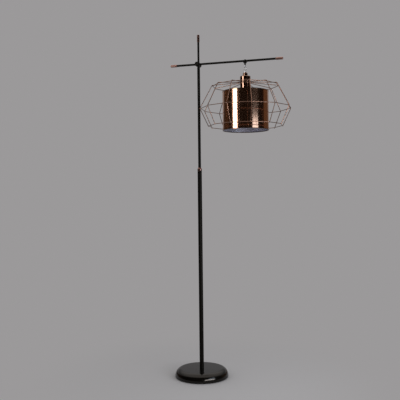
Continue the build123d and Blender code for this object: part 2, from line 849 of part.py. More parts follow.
with BuildPart() as bulb_cap:
    cap_outer = bulb_cap_diameter / 2
    cap_inner = cap_outer - bulb_cap_wall
    land = bulb_cap_land / 2
    turn([
        (cap_inner, bulb_cap_low),
        (cap_outer, bulb_cap_low),
        (cap_outer, bulb_cap_top - bulb_cap_shoulder),
        (land, bulb_cap_top),
        (0, bulb_cap_top),
        (0, bulb_cap_top - bulb_cap_wall),
        (land, bulb_cap_top - bulb_cap_wall),
        (cap_inner, bulb_cap_top - bulb_cap_shoulder - bulb_cap_wall),
    ], centre=head)
pieces["bulb_cap"] = bulb_cap

with BuildPart() as bulb_contact:
    rounded_disc(bulb_contact_diameter / 2, bulb_cap_top, bulb_top, 0, bulb_contact_height / 2,
                 centre=head)
pieces["bulb_contact"] = bulb_contact

with BuildPart() as bulb_glass:
    neck = bulb_neck_diameter / 2
    glass_top = bulb_cap_low + bulb_neck_depth
    neck_low = bulb_cap_low - bulb_neck_straight
    belly = bulb_low + bulb_radius
    with BuildSketch(upright(head)) as glass_section:
        with BuildLine():
            Line((0, bulb_low), (0, glass_top))
            Line((0, glass_top), (neck, glass_top))
            Line((neck, glass_top), (neck, neck_low))
            Spline((neck, neck_low), (bulb_radius, belly), tangents=[(0, -1), (0, -1)])
            RadiusArc((bulb_radius, belly), (0, bulb_low), bulb_radius)
        make_face()
    revolve(glass_section.sketch, axis=Axis((*head, 0), (0, 0, 1)))
    offset(amount=-bulb_glass_wall, openings=faces().sort_by(Axis.Z)[-1])
pieces["bulb_glass"] = bulb_glass

# ---------------------------------------------------------------- wire cage


def cage_corner(radius, height, number):
    """One corner of a cage ring."""
    angle = math.radians(cage_angle + 360 / cage_ribs_count * number)
    return (head[0] + radius * math.cos(angle), head[1] + radius * math.sin(angle), height)


def cage_ring(radius, height):
    """A ring of straight wire runs, bent at each rib, which passes outside its corners."""
    corners = [cage_corner(radius, height, number) for number in range(cage_ribs_count)]
    with BuildLine() as ring_path:
        FilletPolyline(*corners, radius=cage_bend, close=True)
    wire(ring_path.line, cage_wire_radius)


with BuildPart() as cage_top_ring:
    cage_ring(cage_top_radius - cage_wire_radius, cage_top_height)
pieces["cage_top_ring"] = cage_top_ring

with BuildPart() as cage_middle_ring:
    cage_ring(cage_middle_radius - cage_wire_radius, cage_middle_height)
pieces["cage_middle_ring"] = cage_middle_ring

with BuildPart() as cage_bottom_ring:
    cage_ring(cage_bottom_radius - cage_wire_radius, cage_bottom_height)
pieces["cage_bottom_ring"] = cage_bottom_ring


def rib_route():
    """The (radius, height) points of a rib, from the hub over each ring, one wire outside it."""
    rings = [
        Vector(cage_top_radius - cage_wire_radius, cage_top_height),
        Vector(cage_middle_radius - cage_wire_radius, cage_middle_height),
        Vector(cage_bottom_radius - cage_wire_radius, cage_bottom_height),
    ]
    start = Vector(hub_diameter / 2 + seat_gap, hub_middle)
    route = [start]
    stand_off = cage_wire + seat_gap
    places = [start, *rings]
    for before, here, after in zip(places, rings, rings[1:]):
        way_in = (here - before).normalized()
        way_out = (after - here).normalized()
        outward = (way_in - way_out).normalized()
        half_turn = math.radians(way_in.get_angle(way_out)) / 2
        apex = cage_bend * (1 / math.cos(half_turn) - 1)
        route.append(here + outward * (stand_off + apex))
    way_down = (rings[-1] - rings[-2]).normalized()
    outward = Vector(-way_down.Y, way_down.X)
    route.append(rings[-1] + outward * stand_off + way_down * cage_tail)
    return [(point.X, point.Y) for point in route]


with BuildPart() as cage_ribs:
    for number in range(cage_ribs_count):
        angle = math.radians(cage_angle + 360 / cage_ribs_count * number)
        rib_plane = Plane(origin=(*head, 0), x_dir=(math.cos(angle), math.sin(angle), 0),
                          z_dir=(math.sin(angle), -math.cos(angle), 0))
        with BuildLine(rib_plane) as rib_path:
            FilletPolyline(*rib_route(), radius=cage_bend)
        wire(rib_path.line, cage_wire_radius)
pieces["cage_ribs"] = cage_ribs

# ---------------------------------------------------------------- export

os.makedirs("parts", exist_ok=True)
for name, piece in pieces.items():
    piece.part.label = name
    export_step(piece.part, f"parts/{name}.step")
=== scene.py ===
import math

import bmesh
import bpy
from bpy.props import FloatProperty, FloatVectorProperty, IntProperty, PointerProperty
from mathutils import Matrix, Vector


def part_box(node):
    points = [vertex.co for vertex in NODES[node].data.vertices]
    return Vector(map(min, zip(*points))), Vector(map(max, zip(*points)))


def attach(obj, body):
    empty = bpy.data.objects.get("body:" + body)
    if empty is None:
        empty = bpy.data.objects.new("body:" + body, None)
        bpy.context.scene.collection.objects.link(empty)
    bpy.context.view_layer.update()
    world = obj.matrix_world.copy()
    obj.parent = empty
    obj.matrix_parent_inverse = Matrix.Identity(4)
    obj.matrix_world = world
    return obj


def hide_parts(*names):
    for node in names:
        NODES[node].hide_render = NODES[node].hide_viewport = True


bl_info = {
    "name": "Wire cage floor lamp",
    "version": (1, 0, 0),
    "blender": (4, 5, 0),
    "location": "3D View > Sidebar > Floor Lamp",
    "description": "Finishes, threads, welds and a studio for the wire cage floor lamp",
    "category": "Object",
}

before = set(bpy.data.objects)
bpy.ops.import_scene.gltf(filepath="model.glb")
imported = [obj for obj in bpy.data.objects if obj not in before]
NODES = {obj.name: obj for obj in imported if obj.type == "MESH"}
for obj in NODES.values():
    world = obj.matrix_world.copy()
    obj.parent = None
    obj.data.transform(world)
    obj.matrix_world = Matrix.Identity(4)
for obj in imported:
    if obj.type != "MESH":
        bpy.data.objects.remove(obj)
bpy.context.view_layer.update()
MM = 0.001
MICRON = 0.000001

MIX_FIRST, MIX_SECOND, MIX_RESULT = 6, 7, 2     # colour sockets of the Mix node
TURNED_UPRIGHT = (0.02, 0.02, 1)                # lines that run round an upright piece
TURNED_LEVEL = (1, 0.02, 0.02)                  # lines that run round a piece along the arm
DRAWN_DOWN = (1, 1, 0.3)                        # a pattern drawn out down the wall
DUST = (0.2, 0.19, 0.18)
LACQUER_TINT = (1.0, 0.93, 0.87)                # warm tint of what the paint mirrors
WHITE = (1.0, 1.0, 1.0)
SHARP_ABOVE = math.radians(35)
THREAD_STEPS = 36                               # faces in one turn of a thread
SHADE_WALL = 1 * MM
SENSOR_WIDTH = 36                               # millimetres
FLOOR_RADIUS = 14
FLOOR_GAP = 0.2 * MM                            # keeps the floor off the base's pad


# ---------------------------------------------------------------- shader maths

class Value:
    """The output of a node; arithmetic on it adds Math nodes."""

    def __init__(self, graph, socket):
        self.graph = graph
        self.socket = socket

    def math(self, operation, first, second):
        return self.graph.node("ShaderNodeMath", {"operation": operation}, {0: first, 1: second})

    def __add__(self, other):
        return self.math("ADD", self, other)

    def __radd__(self, other):
        return self.math("ADD", other, self)

    def __sub__(self, other):
        return self.math("SUBTRACT", self, other)

    def __rsub__(self, other):
        return self.math("SUBTRACT", other, self)

    def __mul__(self, other):
        return self.math("MULTIPLY", self, other)

    def __rmul__(self, other):
        return self.math("MULTIPLY", other, self)


class Graph:
    """A node tree and the patterns that the lamp's finishes share."""

    def __init__(self, tree):
        self.tree = tree
        tree.nodes.clear()

    def node(self, kind, settings=None, sockets=None, out=0):
        """Add a node, give it its settings first, then the values or links of its sockets."""
        made = self.tree.nodes.new(kind)
        for name, value in (settings or {}).items():
            setattr(made, name, value)
        for name, value in (sockets or {}).items():
            if isinstance(value, Value):
                self.tree.links.new(value.socket, made.inputs[name])
            else:
                made.inputs[name].default_value = value
        return Value(self, made.outputs[out])

    def place(self, stretch=(1, 1, 1)):
        """Coordinates on the piece; a pattern is drawn out along an axis of small stretch."""
        local = self.node("ShaderNodeTexCoord", out="Object")
        return self.node("ShaderNodeMapping", {"vector_type": "POINT"},
                         {"Vector": local, "Scale": stretch})

    def noise(self, size, detail=3, rough=0.5, place=None):
        """Cloudy values from 0 to 1 whose lumps are about size metres wide."""
        return self.node("ShaderNodeTexNoise", {}, {
            "Vector": place or self.place(), "Scale": 1 / size, "Detail": detail,
            "Roughness": rough})

    def cells(self, size):
        """Distance to the nearest point of a scattered pattern, in cells."""
        return self.node("ShaderNodeTexVoronoi", {}, {"Vector": self.place(), "Scale": 1 / size})

    def band(self, value, low, high):
        """0 below low, 1 above high, and a smooth step between."""
        return self.node("ShaderNodeMapRange", {"interpolation_type": "SMOOTHSTEP"}, {
            "Value": value, "From Min": low, "From Max": high})

    def mix(self, share, first, second):
        """A colour between two colours."""
        sides = {MIX_FIRST: first, MIX_SECOND: second}
        full = {k: v if isinstance(v, Value) else (*v, 1) for k, v in sides.items()}
        return self.node("ShaderNodeMix", {"data_type": "RGBA"}, {0: share, **full},
                         out=MIX_RESULT)

    def bump(self, height, depth):
        """A normal from a height that stands for depth metres."""
        return self.node("ShaderNodeBump", {},
                         {"Height": height, "Distance": depth, "Strength": 1.0})


class Finish(Graph):
    """A material of the lamp."""

    def __init__(self, name):
        self.material = bpy.data.materials.new(name)
        self.material.use_nodes = True
        super().__init__(self.material.node_tree)

    def shade(self, **sockets):
        """Close the material with a Principled shader, whose sockets are named with underscores."""
        named = {name.replace("_", " ").title().replace("Ior", "IOR"): value
                 for name, value in sockets.items()}
        for name in ("Base Color", "Specular Tint"):
            if name in named and not isinstance(named[name], Value):
                named[name] = (*named[name], 1)
        surface = self.node("ShaderNodeBsdfPrincipled", {}, named)
        self.node_output(surface)
        return self.material

    def node_output(self, surface):
        end = self.tree.nodes.new("ShaderNodeOutputMaterial")
        self.tree.links.new(surface.socket, end.inputs["Surface"])


def scaled(colour, factor):
    return tuple(min(1.0, part * factor) for part in colour)


# ---------------------------------------------------------------- finishes

def painted(name, colour, rough, peel, dust, gloss):
    """Sprayed paint: a fine orange peel, patches of more and less gloss, and a little dust."""
    f = Finish(name)
    cloud = f.noise(size=0.05, detail=4)
    specks = f.band(f.cells(size=0.0014), low=0.2, high=0.1)
    settled = specks * f.band(f.noise(size=0.02), low=0.5, high=0.62)
    paint = f.mix(cloud, scaled(colour, 0.75), scaled(colour, 1.3))
    paint = f.mix(settled * dust, paint, DUST)
    return f.shade(base_color=paint, roughness=rough + 0.08 * (cloud - 0.5),
                   specular_ior_level=gloss, specular_tint=LACQUER_TINT,
                   normal=f.bump(f.noise(size=0.0016, detail=2), peel))


def plated(name, colour, rough, grain, stretch=(1, 1, 1), dark=0.55):
    """Plated metal: a fine grain, or turning lines if stretched, smudges and a darker tarnish."""
    f = Finish(name)
    tarnish = f.band(f.noise(size=0.035, detail=5, rough=0.6), low=0.42, high=0.75)
    smudge = f.noise(size=0.012, detail=3, rough=0.55)
    lines = f.noise(size=0.0007, detail=2, rough=0.5, place=f.place(stretch))
    metal = f.mix(tarnish, colour, scaled(colour, dark))
    gloss = rough + 0.08 * (smudge - 0.5) + 0.12 * rough * tarnish
    return f.shade(base_color=metal, metallic=1.0, roughness=gloss,
                   normal=f.bump(lines, grain))


def moulded(name, colour, rough, grain, size=0.0008):
    """Moulded or cast material with a fine grain and a faint mottling."""
    f = Finish(name)
    mottle = f.noise(size=0.02, detail=5)
    tone = f.mix(mottle, scaled(colour, 0.86), scaled(colour, 1.12))
    return f.shade(base_color=tone, roughness=rough + 0.12 * (mottle - 0.5),
                   normal=f.bump(f.noise(size, detail=3), grain))


def mirror_film(name, colour, rough, ripple, metal=1.0):
    """Metal film laminated on the shade: a mirror with slow ripples and soft handling marks."""
    f = Finish(name)
    flow = f.noise(size=0.06, detail=1, rough=0.3, place=f.place(DRAWN_DOWN))
    marks = f.noise(size=0.02, detail=2, rough=0.5)
    film = f.mix(f.noise(size=0.09, detail=3), scaled(colour, 0.93), scaled(colour, 1.06))
    return f.shade(base_color=film, metallic=metal, roughness=rough + 0.02 * (marks - 0.5),
                   normal=f.bump(flow, ripple))


def opal(name, colour):
    """Opal glass of a bulb that is off, with faint streaks in the white."""
    f = Finish(name)
    streak = f.noise(size=0.02, detail=3, place=f.place(DRAWN_DOWN))
    tone = f.mix(streak, scaled(colour, 0.97), colour)
    return f.shade(base_color=tone, roughness=0.12 + 0.05 * streak, coat_weight=0.6,
                   coat_roughness=0.05)


# ---------------------------------------------------------------- ways of making

def piece(name, bm, material, body, replaces=(), smooth=SHARP_ABOVE):
    """Finish a bmesh as a piece of the lamp that rides on a body."""
    mesh = bpy.data.meshes.new(name)
    bmesh.ops.recalc_face_normals(bm, faces=bm.faces[:])
    bm.to_mesh(mesh)
    bm.free()
    mesh.shade_smooth()
    mesh.set_sharp_from_angle(angle=smooth)
    made = bpy.data.objects.new(name, mesh)
    bpy.context.scene.collection.objects.link(made)
    for each in material if isinstance(material, (list, tuple)) else [material]:
        mesh.materials.append(each)
    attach(made, body)
    if replaces:
        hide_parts(*replaces)
    return made


def dress(material, *names):
    """Give CAD pieces their finish."""
    for name in names:
        NODES[name].data.materials.clear()
        NODES[name].data.materials.append(material)


def add_loop(bm, outline, centre):
    """A closed outline of (radius, height) points in metres, standing beside the upright axis."""
    corners = [bm.verts.new((centre[0] + r, centre[1], z)) for r, z in outline]
    return [bm.edges.new((a, b)) for a, b in zip(corners, corners[1:] + corners[:1])]


def lathe(bm, outline, centre, steps):
    """Turn a closed outline about the upright axis through centre."""
    edges = add_loop(bm, outline, centre)
    bmesh.ops.spin(bm, geom=edges, cent=(*centre, 0), axis=(0, 0, 1), angle=2 * math.pi,
                   steps=steps, use_merge=True)


def head_centre():
    low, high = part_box("shade_skin")
    return ((low.x + high.x) / 2, (low.y + high.y) / 2)


def screw_thread(name, material, body, radius, low, high, pitch, depth):
    """A rolled thread round the head's axis: one ridge along a helix, trimmed flat at both ends."""
    centre = head_centre()
    root, half = radius - 0.6 * depth, 0.42 * pitch     # the ridge's foot is sunk in the wall
    ridge = [(root, -half), (radius, -half / 2), (radius + depth, 0), (radius, half / 2),
             (root, half)]
    turns = math.ceil((high - low) / pitch) + 2
    steps = THREAD_STEPS * turns
    bm = bmesh.new()
    edges = add_loop(bm, [(r, low - pitch + z) for r, z in ridge], centre)
    bmesh.ops.contextual_create(bm, geom=edges)
    start = bm.faces[:] + bm.edges[:] + bm.verts[:]
    bmesh.ops.spin(bm, geom=start, cent=(*centre, 0), axis=(0, 0, 1), angle=2 * math.pi * turns,
                   dvec=(0, 0, turns * pitch / steps), steps=steps)
    for height, outward in ((low, -1), (high, 1)):
        everything = bm.verts[:] + bm.edges[:] + bm.faces[:]
        cut = bmesh.ops.bisect_plane(bm, geom=everything, plane_co=(0, 0, height),
                                     plane_no=(0, 0, outward), clear_outer=True)
        rim = [each for each in cut["geom_cut"] if isinstance(each, bmesh.types.BMEdge)]
        bmesh.ops.holes_fill(bm, edges=rim)
    return piece(name, bm, material, body)


# ---------------------------------------------------------------- settings

class LampFinishes(bpy.types.PropertyGroup):
    """Colours of the lamp's finishes."""

    lacquer: FloatVectorProperty(
        name="Lacquer", description="Black lacquer of the tubes, clamp and lug",
        default=(0.0026, 0.0022, 0.0016), subtype="COLOR", min=0, max=1)
    base_coat: FloatVectorProperty(
        name="Base coat", description="Black coat of the round base",
        default=(0.0018, 0.0015, 0.0012), subtype="COLOR", min=0, max=1)
    satin_copper: FloatVectorProperty(
        name="Satin copper", description="Copper of the tips and the lock ring",
        default=(0.34, 0.19, 0.155), subtype="COLOR", min=0, max=1)
    polished_copper: FloatVectorProperty(
        name="Polished copper", description="Copper of the cup and cap over the shade",
        default=(0.30, 0.18, 0.125), subtype="COLOR", min=0, max=1)
    film_copper: FloatVectorProperty(
        name="Shade film", description="Copper mirror film on the outside of the shade",
        default=(0.58, 0.33, 0.215), subtype="COLOR", min=0, max=1)
    cage_copper: FloatVectorProperty(
        name="Cage wire", description="Copper plating of the wire cage",
        default=(0.24, 0.135, 0.095), subtype="COLOR", min=0, max=1)


class LampDetails(bpy.types.PropertyGroup):
    """Sizes of the details that are modelled on the frame."""

    cap_pitch: FloatProperty(
        name="Cap thread", description="Pitch of the bulb cap's rolled thread",
        default=3.6 * MM, subtype="DISTANCE", unit="LENGTH", min=1 * MM, max=5 * MM)
    holder_pitch: FloatProperty(
        name="Holder thread", description="Pitch of the thread outside the lampholder",
        default=2.5 * MM, subtype="DISTANCE", unit="LENGTH", min=1 * MM, max=5 * MM)
    weld_radius: FloatProperty(
        name="Weld", description="Half width of a weld bead on the cage",
        default=1.7 * MM, subtype="DISTANCE", unit="LENGTH", min=0.5 * MM, max=4 * MM)
    cage_turn: FloatProperty(
        name="Cage turn", description="Turn of the cage's first rib from the arm's right end",
        default=math.radians(-10.4), subtype="ANGLE", unit="ROTATION")
    ribs: IntProperty(
        name="Ribs", description="Number of ribs in the cage", default=12, min=3, max=36)
    seam_width: FloatProperty(
        name="Seam", description="Width of the shade's glued lap",
        default=9 * MM, subtype="DISTANCE", unit="LENGTH", min=2 * MM, max=40 * MM)
    seam_turn: FloatProperty(
        name="Seam place", description="Where the shade's glued seam stands, from the arm's end",
        default=math.radians(118), subtype="ANGLE", unit="ROTATION")
    drum_steps: IntProperty(
        name="Drum steps", description="Number of faces around the shade",
        default=240, min=64, max=480)


class LampStudio(bpy.types.PropertyGroup):
    """The camera and the soft light of the studio."""

    camera_turn: FloatProperty(
        name="Camera turn", description="Turn of the camera about the pole",
        default=math.radians(16.59), subtype="ANGLE", unit="ROTATION")
    camera_distance: FloatProperty(
        name="Camera distance", description="Distance from the pole's axis",
        default=2.8783, subtype="DISTANCE", unit="LENGTH", min=0.5, max=10)
    camera_height: FloatProperty(
        name="Camera height", description="Height of the lens above the floor",
        default=0.8425, subtype="DISTANCE", unit="LENGTH", min=0, max=5)
    camera_tilt: FloatProperty(
        name="Camera tilt", description="Tilt of the camera, down below 0",
        default=math.radians(-0.297), subtype="ANGLE", unit="ROTATION")
    camera_roll: FloatProperty(
        name="Camera roll", description="Roll of the camera about its own axis",
        default=math.radians(-0.627), subtype="ANGLE", unit="ROTATION")
    camera_lens: FloatProperty(
        name="Lens", description="Focal length on a 36 mm wide sensor",
        default=55.3, subtype="DISTANCE_CAMERA", unit="CAMERA", min=10, max=200)
    backdrop: FloatVectorProperty(
        name="Backdrop", description="Colour of the floor and the backdrop",
        default=(0.328, 0.319, 0.323), subtype="COLOR", min=0, max=1)
    ambient: FloatProperty(
        name="Ambient", description="Strength of the even light from all sides",
        default=0.88, min=0, max=2)
    room: FloatVectorProperty(
        name="Room", description="The dark room in front of the lamp, seen in the metal",
        default=(0.009, 0.0055, 0.0035), subtype="COLOR", min=0, max=1)
    wings: FloatVectorProperty(
        name="Wings", description="The room to both sides of the backdrop, seen in the metal",
        default=(0.13, 0.078, 0.044), subtype="COLOR", min=0, max=1)
    overhead: FloatVectorProperty(
        name="Overhead", description="The soft box over the lamp, seen in the gloss",
        default=(1.3, 1.26, 1.22), subtype="COLOR", min=0, soft_max=4)
    left_glow: FloatProperty(
        name="Left panel", description="Brightness of the tall panel on the left",
        default=13, min=0, max=100)
    right_glow: FloatProperty(
        name="Right panel", description="Brightness of the cooler panel on the right",
        default=2.7, min=0, max=100)
    low_glow: FloatProperty(
        name="Low panel", description="Brightness of the long panel near the floor",
        default=20, min=0, max=100)


# ---------------------------------------------------------------- pieces

class LAMP_OT_base(bpy.types.Operator):
    """Finish the round base and the hardware inside it"""

    bl_idname = "floor_lamp.base"
    bl_label = "Base"

    def execute(self, context):
        tones = context.scene.lamp_finishes
        coat = painted("base_coat", tones.base_coat, rough=0.15, peel=1.5 * MICRON, dust=0.04,
                       gloss=0.3)
        dress(coat, "base_cover")
        rubber = moulded("rubber", (0.016, 0.016, 0.017), rough=0.75, grain=40 * MICRON)
        dress(rubber, "base_pad", "cord_bushing")
        iron = moulded("cast_iron", (0.035, 0.034, 0.033), rough=0.7, grain=0.3 * MM,
                       size=3 * MM)
        dress(iron, "base_weight")
        zinc = plated("zinc", (0.55, 0.56, 0.58), rough=0.32, grain=10 * MICRON)
        dress(zinc, "threaded_stud", "flat_washer", "spring_washer", "stud_nut", "pole_foot",
              "foot_grub_screw")
        return {"FINISHED"}


class LAMP_OT_pole(bpy.types.Operator):
    """Finish the two tubes, the rod and the lock between them"""

    bl_idname = "floor_lamp.pole"
    bl_label = "Pole"

    def execute(self, context):
        tones = context.scene.lamp_finishes
        lacquer = painted("pole_lacquer", tones.lacquer, rough=0.42, peel=4 * MICRON, dust=0.04,
                          gloss=0.07)
        dress(lacquer, "lower_pole", "upper_pole", "rod_seat", "top_rod")
        nylon = moulded("nylon", (0.62, 0.6, 0.55), rough=0.45, grain=20 * MICRON)
        dress(nylon, "lock_collet", "guide_plug")
        upright = plated("turned_copper_upright", tones.satin_copper, rough=0.2,
                         grain=1 * MICRON, stretch=TURNED_UPRIGHT)
        dress(upright, "lock_ferrule", "top_tip")
        return {"FINISHED"}


class LAMP_OT_clamp(bpy.types.Operator):
    """Finish the cross clamp and its thumb screws"""

    bl_idname = "floor_lamp.clamp"
    bl_label = "Clamp"

    def execute(self, context):
        tones = context.scene.lamp_finishes
        lacquer = painted("clamp_lacquer", tones.lacquer, rough=0.42, peel=6 * MICRON, dust=0.04,
                          gloss=0.1)
        dress(lacquer, "cross_clamp", "arm_thumbscrew", "pole_thumbscrew")
        return {"FINISHED"}


class LAMP_OT_arm(bpy.types.Operator):
    """Finish the arm, its copper tips and the lug under it"""

    bl_idname = "floor_lamp.arm"
    bl_label = "Arm"

    def execute(self, context):
        tones = context.scene.lamp_finishes
        lacquer = painted("arm_lacquer", tones.lacquer, rough=0.42, peel=4 * MICRON, dust=0.04,
                          gloss=0.07)
        dress(lacquer, "arm_tube", "hanger_lug", "lug_screw")
        level = plated("turned_copper_level", tones.satin_copper, rough=0.2, grain=1 * MICRON,
                       stretch=TURNED_LEVEL)
        dress(level, "arm_tip_left", "arm_tip_right")
        return {"FINISHED"}


class LAMP_OT_links(bpy.types.Operator):
    """Finish the chain links and the loop that the head hangs from"""

    bl_idname = "floor_lamp.links"
    bl_label = "Links"

    def execute(self, context):
        chrome = plated("bright_chrome", (0.55, 0.55, 0.56), rough=0.14, grain=1 * MICRON,
                        dark=0.8)
        dress(chrome, "upper_link", "lower_link", "loop_nipple")
        return {"FINISHED"}


class LAMP_OT_holder(bpy.types.Operator):
    """Finish the cup and cap, and cut the threads of the lampholder"""

    bl_idname = "floor_lamp.holder"
    bl_label = "Lampholder"

    def execute(self, context):
        tones = context.scene.lamp_finishes
        details = context.scene.lamp_details
        polished = plated("polished_copper", tones.polished_copper, rough=0.07,
                          grain=0.4 * MICRON, stretch=TURNED_UPRIGHT)
        dress(polished, "socket_cap", "socket_cup", "cup_sleeve", "spacer_sleeve", "cage_hub")
        rubber = moulded("bushing_rubber", (0.02, 0.02, 0.02), rough=0.7, grain=30 * MICRON)
        dress(rubber, "cap_bushing")
        phenolic = moulded("phenolic", (0.012, 0.011, 0.010), rough=0.28, grain=10 * MICRON)
        dress(phenolic, "ring_nut", "lampholder")
        ceramic = moulded("glazed_ceramic", (0.8, 0.78, 0.73), rough=0.18, grain=10 * MICRON)
        dress(ceramic, "contact_carrier")
        brass = plated("brass", (0.72, 0.52, 0.24), rough=0.25, grain=6 * MICRON)
        dress(brass, "screw_shell", "centre_contact", "terminal_screws")
        low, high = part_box("lampholder")
        screw_thread("holder_thread", phenolic, "head", radius=(high.x - low.x) / 2,
                     low=low.z + 3 * MM, high=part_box("shade_fitter")[1].z - 1 * MM,
                     pitch=details.holder_pitch, depth=0.55 * MM)
        return {"FINISHED"}


class LAMP_OT_shade(bpy.types.Operator):
    """Roll the drum shade from its mirror film and finish its rims and spider"""

    bl_idname = "floor_lamp.shade"
    bl_label = "Shade"

    def execute(self, context):
        tones = context.scene.lamp_finishes
        details = context.scene.lamp_details
        low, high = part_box("shade_skin")
        centre = head_centre()
        outer = (high.x - low.x) / 2
        inner = outer - SHADE_WALL
        film = mirror_film("copper_film", tones.film_copper, rough=0.12, ripple=2 * MICRON)
        lining = mirror_film("silver_lining", (0.62, 0.61, 0.68), rough=0.2, ripple=3 * MICRON,
                             metal=0.88)
        bm = bmesh.new()
        rows = 12
        heights = [low.z + (high.z - low.z) * row / rows for row in range(rows + 1)]
        outline = [(outer, z) for z in heights] + [(inner, z) for z in reversed(heights)]
        lathe(bm, outline, centre, details.drum_steps)
        middle = (outer + inner) / 2
        for face in bm.faces:
            at = face.calc_center_median()
            radius = math.hypot(at.x - centre[0], at.y - centre[1])
            face.material_index = 0 if radius > middle else 1
        piece("shade_drum", bm, [film, lining], "head", ["shade_skin"])
        width = details.seam_width / outer
        bm = bmesh.new()
        sunk, proud, inset = 0.2 * MM, 0.35 * MM, 4 * MM
        lap = [(outer - sunk, low.z + inset), (outer + proud, low.z + inset),
               (outer + proud, high.z - inset), (outer - sunk, high.z - inset)]
        edges = add_loop(bm, lap, centre)
        bmesh.ops.contextual_create(bm, geom=edges)
        bmesh.ops.rotate(bm, verts=bm.verts[:], cent=(*centre, 0),
                         matrix=Matrix.Rotation(details.seam_turn, 3, "Z"))
        bmesh.ops.spin(bm, geom=bm.faces[:] + bm.edges[:] + bm.verts[:], cent=(*centre, 0),
                       axis=(0, 0, 1), angle=width, steps=4)
        piece("shade_seam", bm, film, "head")
        edge = mirror_film("edge_film", scaled(tones.film_copper, 0.3), rough=0.2,
                           ripple=4 * MICRON)
        dress(edge, "shade_top_rim", "shade_bottom_rim")
        enamel = painted("white_enamel", (0.66, 0.66, 0.64), rough=0.35, peel=6 * MICRON,
                         dust=0.04, gloss=0.5)
        dress(enamel, "shade_fitter")
        return {"FINISHED"}


class LAMP_OT_bulb(bpy.types.Operator):
    """Finish the bulb"""

    bl_idname = "floor_lamp.bulb"
    bl_label = "Bulb"

    def execute(self, context):
        dress(opal("opal_glass", (0.86, 0.85, 0.82)), "bulb_glass")
        cap = plated("cap_metal", (0.7, 0.7, 0.68), rough=0.28, grain=2 * MICRON)
        dress(cap, "bulb_cap")
        low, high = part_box("bulb_cap")
        screw_thread("cap_thread", cap, "head",
                     radius=(high.x - low.x) / 2 - 0.3 * MM, low=low.z + 9 * MM,
                     high=high.z - 3 * MM, pitch=context.scene.lamp_details.cap_pitch,
                     depth=0.4 * MM)
        solder = plated("solder", (0.5, 0.5, 0.52), rough=0.4, grain=20 * MICRON)
        dress(solder, "bulb_contact")
        return {"FINISHED"}


class LAMP_OT_cage(bpy.types.Operator):
    """Finish the wire cage and set a weld bead at each crossing"""

    bl_idname = "floor_lamp.cage"
    bl_label = "Cage"

    def execute(self, context):
        tones = context.scene.lamp_finishes
        details = context.scene.lamp_details
        wire = plated("cage_plating", tones.cage_copper, rough=0.24, grain=0.8 * MICRON)
        rings = ("cage_top_ring", "cage_middle_ring", "cage_bottom_ring")
        dress(wire, *rings, "cage_ribs")
        centre = head_centre()
        hub_low, hub_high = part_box("cage_hub")
        places = [Vector(((hub_high.x - hub_low.x) / 2, (hub_low.z + hub_high.z) / 2))]
        for name in rings:
            low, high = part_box(name)
            gauge = high.z - low.z
            across = (high.x - low.x - gauge) / 2 / math.cos(details.cage_turn)
            places.append(Vector((across, (low.z + high.z) / 2)))
        ways = [(b - a).normalized() for a, b in zip(places, places[1:])]
        hub_lean = Vector((0.3, 0))
        leans = [hub_lean, *[(a - b).normalized() for a, b in zip(ways, ways[1:])],
                 Vector((-ways[-1].y, ways[-1].x))]
        bead = Matrix.Diagonal((0.9, 1.15, 1.15, 1))
        bm = bmesh.new()
        for (across, height), lean in zip(places, leans):
            middle = Vector((across, height)) + lean * (gauge / 2)
            tilt = Matrix.Rotation(-math.atan2(lean.y, lean.x), 4, "Y")
            for rib in range(details.ribs):
                turn = details.cage_turn + 2 * math.pi * rib / details.ribs
                where = Matrix.Translation((*centre, 0)) @ Matrix.Rotation(turn, 4, "Z")
                bmesh.ops.create_icosphere(
                    bm, subdivisions=2, radius=details.weld_radius,
                    matrix=where @ Matrix.Translation((middle.x, 0, middle.y)) @ tilt @ bead)
        piece("cage_welds", bm, wire, "head", smooth=math.pi)
        return {"FINISHED"}


# ---------------------------------------------------------------- studio

